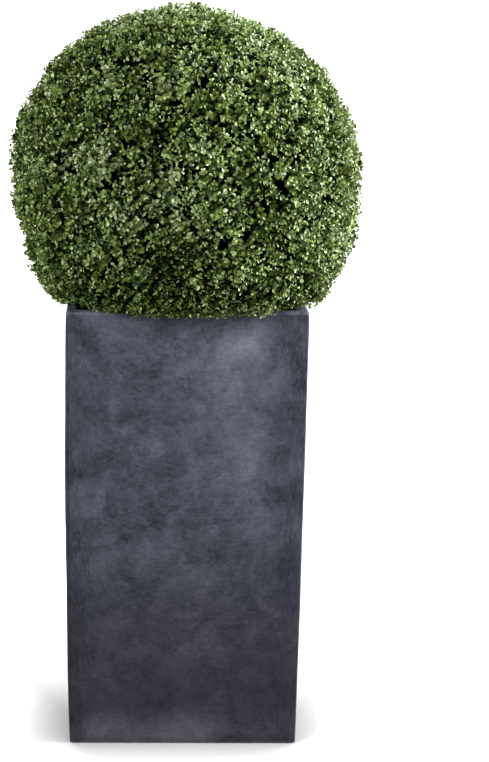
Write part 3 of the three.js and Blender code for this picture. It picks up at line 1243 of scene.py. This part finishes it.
@dataclass
class Branching:
    """All that grows inside the ball: boughs from the stem, branchlets, twigs and shoots.

    The fields from finer_bow to uneven_ends hold for the twigs and shoots. The last gives how far a tip may
    lie too deep or too high, as shares of the order's uneven.
    """

    ball: Ball
    stem: Stem
    seed: int = 517
    bow: float = 0.4
    boughs: int = 9
    bough_band: Pair = (1.0, -0.25)
    bough_wander: float = 0.1
    bough_reach: float = 0.46
    bough_lean: float = 0.6
    bough_take_off: Pair = (1.0, 0.5)
    bough_points: int = 9
    bough_radii: Pair = (0.0095, 0.005)
    branchlet_depth: float = 0.72
    branchlet_take_off: Pair = (0.45, 1.0)
    branchlet_ends: Pair = (0.13, 0.17)
    branchlet_points: tuple[int, int] = (6, 5)
    branchlet_radii: Pair = (0.0034, 0.0016)
    finer_bow: float = 0.45
    finer_wander: float = 0.5
    finer_taper: float = 0.5
    gathered: Pair = (0.4, 1.0)
    uneven_ends: Pair = (-2.5, 1.2)
    twigs: Order = Order(1000, 0.020, 0.005, 0.10, (0.35, 0.95), 4, 0.0014)
    shoots: Order = Order(5200, 0.0054, 0.0042, 0.16, (0.15, 1.0), 3, 0.0006)
    rim_shoots: Order = Order(1300, 0.0036, 0.0030, 0.10, (0.15, 1.0), 3, 0.0006, (-0.54, -0.76))
    inner_shoots: Order = Order(5000, 0.018, 0.007, 0.0, (0.10, 0.9), 3, 0.0007)
    wood: Bark = Bark("young_bark", (0.030, 0.026, 0.016), (0.12, 0.105, 0.06), 260.0)
    green_wood: Bark = Bark("green_bark", (0.035, 0.045, 0.016), (0.11, 0.14, 0.05), 500.0)

    def __post_init__(self) -> None:
        """Grows the limbs, order by order."""
        self.random = np.random.default_rng(self.seed)
        self.bough_limbs = self.grow_boughs()
        self.branchlet_limbs = self.grow_branchlets()
        self.twig_limbs = self.grow_order(self.branchlet_limbs, self.twigs)
        self.shoot_limbs = self.grow_order(self.twig_limbs, self.shoots)
        self.rim_limbs = self.grow_order(self.twig_limbs, self.rim_shoots)
        self.inner_limbs = self.grow_order(self.twig_limbs, self.inner_shoots)

    @staticmethod
    def bend(start: np.ndarray, way: np.ndarray, end: np.ndarray, bow: float, points: int) -> np.ndarray:
        """Draws limbs that leave their parent and bend over to their tips.

        Args:
            start: Where each limb starts.
            way: The direction that it starts in.
            end: Its tip.
            bow: How long it keeps to that direction, as a share of its length.
            points: The points along a limb.

        Returns:
            The paths.
        """
        length = np.linalg.norm(end - start, axis=1, keepdims=True)
        middle = start + way * length * bow
        share = np.linspace(0, 1, points)[None, :, None]
        first = start[:, None] * (1 - share) ** 2 + 2 * middle[:, None] * share * (1 - share)
        return first + end[:, None] * share**2

    @staticmethod
    def taper(count: int, points: int, base: float, tip: float) -> np.ndarray:
        """Gives radii that fall evenly from base to tip, for many limbs."""
        return np.broadcast_to(np.linspace(base, tip, points), (count, points))

    def grow_boughs(self) -> Limbs:
        """Grows the boughs from the upper half of the stem.

        Returns:
            The boughs.
        """
        ways = self.ball.spread(self.boughs, self.bough_band, self.bough_wander, self.random)
        end = self.ball.centre + ways * self.ball.radius * self.bough_reach
        share = np.linspace(*self.bough_take_off, self.boughs)
        start = np.array([self.stem.axis(value)[:] for value in share])
        up = np.tile([0.0, 0.0, 1.0], (self.boughs, 1))
        paths = self.bend(start, unit(up + ways * self.bough_lean), end, self.bow, self.bough_points)
        return Limbs(paths, self.taper(self.boughs, self.bough_points, *self.bough_radii))

    def grow_branchlets(self) -> Limbs:
        """Grows the branchlets from the boughs, where the solids have theirs.

        Returns:
            The branchlets.
        """
        roots, axes = self.ball.source_branchlets()
        core = self.ball.centre + roots * self.ball.radius * self.branchlet_depth
        owner = self.nearest(core, self.bough_limbs.tips())
        share = self.random.uniform(*self.branchlet_take_off, len(roots))
        start, way = self.bough_limbs.at(owner, share)
        inner_points, outer_points = self.branchlet_points
        inner = self.bend(start, unit(way + axes), core, self.bow, inner_points)
        reach = self.ball.radius * self.random.uniform(*self.branchlet_ends, (len(roots), 1))
        onward = unit(core - inner[:, -2])
        outer = self.bend(core, onward, core + axes * reach, self.bow, outer_points)
        paths = np.concatenate([inner, outer[:, 1:]], axis=1)
        return Limbs(paths, self.taper(len(roots), paths.shape[1], *self.branchlet_radii))

    @staticmethod
    def nearest(points: np.ndarray, tips: np.ndarray) -> np.ndarray:
        """Gives the number of the tip that lies nearest to each point."""
        apart = np.linalg.norm(points[:, None] - tips[None], axis=2)
        return np.argmin(apart, axis=1)

    def grow_order(self, parents: Limbs, order: Order) -> Limbs:
        """Grows the next order of limbs, whose tips lie evenly over the ball.

        Args:
            parents: The limbs that they grow from.
            order: How they grow.

        Returns:
            The new limbs.
        """
        count, centre = order.count, self.ball.centre
        ways = self.ball.spread(count, order.band, self.finer_wander / math.sqrt(count), self.random)
        out = self.ball.surface(ways)[:, None]
        owner = self.nearest(centre + ways * out, parents.tips())
        carried = unit(parents.tips() - centre)[owner]
        gather = order.gather * self.random.uniform(*self.gathered, (count, 1))
        ways = unit(ways + (carried - ways) * gather)
        lowest, highest = (order.uneven * share for share in self.uneven_ends)
        height = self.random.normal(0, order.uneven, (count, 1)).clip(lowest, highest)
        shared = self.random.normal(0, order.uneven, (len(parents.paths), 1))
        shared = shared[owner].clip(-order.uneven, order.uneven)
        tips = centre + ways * (out - order.depth + height + shared)
        start, way = parents.at(owner, self.random.uniform(*order.take_off, count))
        paths = self.bend(start, way, tips, self.finer_bow, order.points)
        tip_radius = order.radius * self.finer_taper
        return Limbs(paths, self.taper(count, order.points, order.radius, tip_radius))

    def build(self) -> None:
        """Skins and dresses the boughs and branchlets, the twigs and the shoots."""
        wood, green = self.wood.material(), self.green_wood.material()
        orders = (
            ("boughs", self.bough_limbs, 12, wood),
            ("branchlets", self.branchlet_limbs, 6, wood),
            ("twigs", self.twig_limbs, 4, wood),
            ("shoots", self.shoot_limbs, 3, green),
            ("rim_shoots", self.rim_limbs, 3, green),
            ("inner_shoots", self.inner_limbs, 3, green),
        )
        for name, limbs, sides, material in orders:
            add_piece(name, mesh_of_arrays(name, *limbs.tubes(sides)), material, Node.BALL)


@dataclass(frozen=True)
class LeafRow:
    """How the leaves stand along a limb, from its first pair to the last.

    Angles are in degrees. The youth is added to the score that picks a leaf's tint.
    """

    pairs: int
    first_pair: float
    length: float
    spreads: tuple[float, ...]
    sizes: tuple[float, ...]
    youth: float


@dataclass
class Foliage:
    """The leaves: opposite pairs on every shoot, each a quarter turn round from the last.

    The spreads wander by degrees, and the turns and rolls by radians. A leaf's tint goes by a score, to which
    its age, its shoot, the clump it grows in and chance add by their weights.
    """

    ball: Ball
    branching: Branching
    width_share: float = 0.79
    proud: float = 0.0040
    proudest: float = 0.0130
    bare: float = 0.79
    stalk: float = 0.0008
    turn_from: Triple = (0.31, 0.17, 0.93)
    turn_wander: float = 0.22
    spread_wander: float = 9.0
    roll_wander: float = 0.28
    lengths: Pair = (0.82, 1.12)
    widths: Pair = (0.88, 1.12)
    folds: Pair = (0.3, 0.7)
    curls: Pair = (-0.05, 0.3)
    age_weight: float = 2.6
    shoot_weight: float = 1.9
    clump_weight: float = 1.7
    leaf_weight: float = 0.9
    clump_pitch: float = 14.0
    under_shade: float = 1.6
    under_from: float = -0.2
    bluish_share: float = 0.10
    most_leaves: int = 20000
    seed: int = 90
    outline: tuple[Pair, ...] = ((0.30, 0.84), (0.72, 0.95))
    outer: LeafRow = LeafRow(
        pairs=7,
        first_pair=0.36,
        length=0.0086,
        spreads=(78.0, 73.0, 67.0, 58.0, 38.0),
        sizes=(0.90, 1.0, 1.0, 0.90, 0.60),
        youth=0.7,
    )
    inner: LeafRow = LeafRow(
        pairs=4,
        first_pair=0.45,
        length=0.0096,
        spreads=(75.0, 60.0, 45.0),
        sizes=(0.9, 1.0, 0.9),
        youth=-0.3,
    )

    def template(self) -> tuple[np.ndarray, np.ndarray]:
        """Shapes one flat leaf, 1 long and 2 wide, from a small grid.

        Returns:
            Corners and triangles.
        """
        shape = bmesh.new()
        rows = len(self.outline) + 1
        bmesh.ops.create_grid(shape, x_segments=2, y_segments=rows, size=1.0)
        shares = [(0.0, 0.0), *self.outline, (1.0, 0.0)]
        for vert in shape.verts:
            along, width = shares[round((vert.co.y + 1) / 2 * rows)]
            vert.co.y = along
            vert.co.x *= width
        bmesh.ops.remove_doubles(shape, verts=shape.verts, dist=MERGE_DISTANCE)
        return arrays_of(shape)

    @staticmethod
    def corners(points: np.ndarray, leaf: Mapping[str, np.ndarray]) -> np.ndarray:
        """Places the leaf's corners for many leaves.

        Args:
            points: The corners of the flat leaf.
            leaf: For each leaf its root, its length, width, fold and curl, and its three directions.

        Returns:
            The corners of each leaf.
        """
        across = points[None, :, 0] * leaf["width"][:, None] / 2
        along = points[None, :, 1] * leaf["length"][:, None]
        curl = points[None, :, 1] ** 2 * leaf["length"][:, None] * leaf["curl"][:, None]
        lift = np.abs(across) * leaf["fold"][:, None] - curl
        return (
            leaf["root"][:, None]
            + across[..., None] * leaf["across"][:, None]
            + along[..., None] * leaf["along"][:, None]
            + lift[..., None] * leaf["upper"][:, None]
        )

    def clump_score(self, tips: np.ndarray) -> np.ndarray:
        """Gives what a shoot's place adds to its leaves' scores: light and dark clumps, and shade below.

        Args:
            tips: The tips of the shoots.

        Returns:
            A score for each shoot.
        """
        clumps = np.array([noise.noise(Vector(place) * self.clump_pitch) for place in tips])
        below = np.minimum(unit(tips - self.ball.centre)[:, 2] - self.under_from, 0.0)
        return self.clump_weight * clumps + self.under_shade * below

    def grow(self, limbs: Limbs, row: LeafRow, random: np.random.Generator) -> dict[str, np.ndarray]:
        """Grows pairs of leaves along limbs.

        Args:
            limbs: The limbs.
            row: How the leaves stand along one.
            random: The random numbers.

        Returns:
            For each leaf its root, directions, size and bend, its tint's score, and whether it is bluish.
        """
        count, leaves = len(limbs.paths), row.pairs * 2
        total = count * leaves
        owner = np.repeat(np.arange(count), leaves)
        pair = np.tile(np.repeat(np.arange(row.pairs), 2), count)
        half = np.tile([0, 1], count * row.pairs)
        age = pair / (row.pairs - 1)
        root, way = limbs.at(owner, row.first_pair + (1 - row.first_pair) * age)
        first_turn = np.repeat(random.uniform(0, math.tau, count), leaves)
        turn = first_turn + pair * math.pi / 2 + half * math.pi + random.normal(0, self.turn_wander, total)
        steps = np.linspace(0, 1, len(row.spreads))
        spread = np.interp(age, steps, row.spreads) + random.normal(0, self.spread_wander, total)
        spread = np.radians(spread)
        hint = square_to(way, np.tile(self.turn_from, (total, 1)))
        outward = rotated(hint, np.cross(way, hint), turn)
        along = rotated(way, outward, spread)
        upper = rotated(-outward, way, spread)
        across = np.cross(along, upper)
        roll = random.normal(0, self.roll_wander, total)
        across, upper = rotated(across, upper, roll), rotated(upper, -across, roll)
        size = np.interp(age, np.linspace(0, 1, len(row.sizes)), row.sizes)
        length = row.length * (size * random.uniform(*self.lengths, total))
        score = row.youth + self.age_weight * age
        score += self.shoot_weight * np.repeat(random.uniform(0, 1, count), leaves)
        score += np.repeat(self.clump_score(limbs.tips()), leaves)
        leaf = {"root": root + along * self.stalk, "along": along, "upper": upper, "across": across}
        leaf["length"] = length
        leaf["width"] = length * self.width_share * random.uniform(*self.widths, total)
        leaf["fold"] = random.uniform(*self.folds, total)
        leaf["curl"] = random.uniform(*self.curls, total)
        leaf["score"] = score + self.leaf_weight * random.normal(0, 1, total)
        leaf["bluish"] = np.repeat(random.uniform(0, 1, count) < self.bluish_share, leaves)
        return leaf

    def tints(self, leaf: Mapping[str, np.ndarray]) -> np.ndarray:
        """Picks each leaf's tint by its score, and makes some of the plain greens bluish.

        Args:
            leaf: For each leaf its score, and whether it is bluish.

        Returns:
            The tints' numbers in their order.
        """
        order = list(Tint)
        olive, middle, pale = (order.index(tint) for tint in (Tint.OLIVE, Tint.MIDDLE, Tint.PALE))
        picked = np.clip(np.rint(leaf["score"]), 0, pale).astype(int)
        bluish = leaf["bluish"] & (picked >= olive) & (picked <= middle)
        return np.where(bluish, order.index(Tint.BLUISH), picked)

    def add_tint(self, tint: Tint, leaves: np.ndarray, faces: np.ndarray) -> None:
        """Adds the leaves of one tint, in as many pieces as their number needs.

        Args:
            tint: Their colour.
            leaves: The corners of each leaf.
            faces: The triangles of one leaf.
        """
        pieces = math.ceil(len(leaves) / self.most_leaves)
        material = tint.value.material()
        for number, share in enumerate(np.array_split(leaves, pieces)):
            name = tint.value.name if pieces == 1 else f"{tint.value.name}_{number + 1}"
            mesh = mesh_of_arrays(name, *many_copies(share, faces))
            add_piece(name, mesh, material, Node.BALL)

    def build(self) -> None:
        """Grows, clips, shapes and dresses the leaves."""
        random = np.random.default_rng(self.seed)
        points, faces = self.template()
        parts: dict[Tint, list[np.ndarray]] = {tint: [] for tint in Tint}
        for limbs, row in (
            (self.branching.shoot_limbs, self.outer),
            (self.branching.rim_limbs, self.outer),
            (self.branching.inner_limbs, self.inner),
        ):
            leaf = self.grow(limbs, row, random)
            corners = self.corners(points, leaf)
            kept = self.ball.holds(corners, self.proud, self.proudest)
            depth = np.linalg.norm(leaf["root"] - self.ball.centre, axis=1)
            kept &= depth > self.ball.radius * self.bare
            tints = self.tints(leaf)
            for number, tint in enumerate(Tint):
                parts[tint].append(corners[kept & (tints == number)])
            LOG.info("leaves kept: %d of %d", int(kept.sum()), len(kept))
        for tint, batches in parts.items():
            self.add_tint(tint, np.concatenate(batches), faces)


@dataclass
class ThicketShade:
    """The dense, dark inside of the ball, where no leaf gets light: a near-black shell of painted shade."""

    ball: Ball
    share: float = 0.80
    lumps: float = 0.06
    lump_pitch: float = 22.0
    subdivisions: int = 6
    bottom: float = STEM_FOOT + 0.001
    finish: Crumbly = Crumbly("inner_thicket_shade", (0.0015, 0.0018, 0.001), (0.006, 0.007, 0.003), 70.0, 0.0)

    def build(self) -> None:
        """Models and dresses the thicket's near-black shell of painted shade."""
        shape = bmesh.new()
        radius = self.ball.radius * self.share
        bmesh.ops.create_icosphere(shape, subdivisions=self.subdivisions, radius=radius)
        for vert in shape.verts:
            lump = 0.5 + 0.5 * rough(vert.co * self.lump_pitch)
            vert.co *= 1 - self.lumps * max(0.0, min(1.0, lump))
            vert.co += Vector(self.ball.centre)
        everything = [*shape.verts, *shape.edges, *shape.faces]
        base = {"plane_co": (0, 0, self.bottom), "plane_no": (0, 0, 1)}
        cut = bmesh.ops.bisect_plane(shape, geom=everything, clear_inner=True, **base)
        rim = [item for item in cut["geom_cut"] if isinstance(item, bmesh.types.BMEdge)]
        bmesh.ops.contextual_create(shape, geom=rim)
        mesh = mesh_of("thicket_shade", shape, sharp=60.0)
        add_piece("thicket_shade", mesh, self.finish.material(), Node.BALL)


@dataclass(frozen=True)
class Sun:
    """A distant soft light: its turn to the right of the camera's side, its height, strength and breadth."""

    name: str
    turn: float
    height: float
    strength: float
    breadth: float

    def hang(self) -> None:
        """Adds the light."""
        light = bpy.data.lights.new(self.name, "SUN")
        light.energy = self.strength
        light.angle = math.radians(self.breadth)
        lamp = bpy.data.objects.new(self.name, light)
        turn, height = math.radians(self.turn), math.radians(self.height)
        across = math.cos(height)
        towards = Vector((math.sin(turn) * across, -math.cos(turn) * across, math.sin(height)))
        lamp.rotation_euler = towards.to_track_quat("Z", "Y").to_euler()
        bpy.context.scene.collection.objects.link(lamp)


@dataclass
class Studio:
    """A white studio: a wide floor, soft lights and the camera that the photograph was taken with."""

    camera_place: Triple = (-0.0958, -2.6049, 1.3312)
    pitch: float = 15.425
    roll: float = 0.103
    sensor: float = 36.0
    lens: float = 71.05
    shift: float = 0.1513
    floor_radius: float = 120.0
    floor_sides: int = 96
    sky: float = 0.28
    look: str = "High Contrast"
    suns: tuple[Sun, ...] = (
        Sun("key", 86.0, 12.0, 10.8, 20.0),
        Sun("rim", 118.0, 12.0, 4.2, 30.0),
        Sun("fill", -60.0, 24.0, 4.8, 35.0),
        Sun("back", 178.0, 72.0, 2.0, 35.0),
    )

    def add_floor(self) -> None:
        """Lays the floor."""
        shape = bmesh.new()
        bmesh.ops.create_circle(
            shape, cap_ends=True, segments=self.floor_sides, radius=self.floor_radius
        )
        mesh = mesh_of("studio_floor", shape)
        mesh.materials.append(StudioWhite().material())
        floor = bpy.data.objects.new("studio_floor", mesh)
        bpy.context.scene.collection.objects.link(floor)

    def add_sky(self) -> None:
        """Surrounds the scene with even white light."""
        world = bpy.data.worlds.new("studio")
        world.use_nodes = True
        background = world.node_tree.nodes["Background"]
        background.inputs["Color"].default_value = (1, 1, 1, 1)
        background.inputs["Strength"].default_value = self.sky
        bpy.context.scene.world = world
        bpy.context.scene.view_settings.view_transform = "Standard"
        bpy.context.scene.view_settings.look = self.look

    def add_camera(self) -> None:
        """Sets up the camera, which looks along +Y and a little down."""
        data = bpy.data.cameras.new("camera")
        data.sensor_width = self.sensor
        data.lens = self.lens
        data.shift_x = self.shift
        camera = bpy.data.objects.new("camera", data)
        tilt = Matrix.Rotation(math.radians(90 - self.pitch), 4, "X")
        lean = Matrix.Rotation(math.radians(self.roll), 4, "Z")
        camera.matrix_world = Matrix.Translation(self.camera_place) @ tilt @ lean
        bpy.context.scene.collection.objects.link(camera)
        bpy.context.scene.camera = camera

    def build(self) -> None:
        """Sets up the studio."""
        self.add_floor()
        self.add_sky()
        for sun in self.suns:
            sun.hang()
        self.add_camera()


def main() -> None:
    """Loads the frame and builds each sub-assembly in order."""
    logging.basicConfig(level=logging.INFO, format="%(name)s: %(message)s")
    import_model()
    Studio().build()
    Planter().build()
    Soil().build()
    stem = Stem()
    stem.build()
    ball = Ball()
    branching = Branching(ball, stem)
    branching.build()
    ThicketShade(ball).build()
    Foliage(ball, branching).build()


if __name__ == "__main__":
    main()
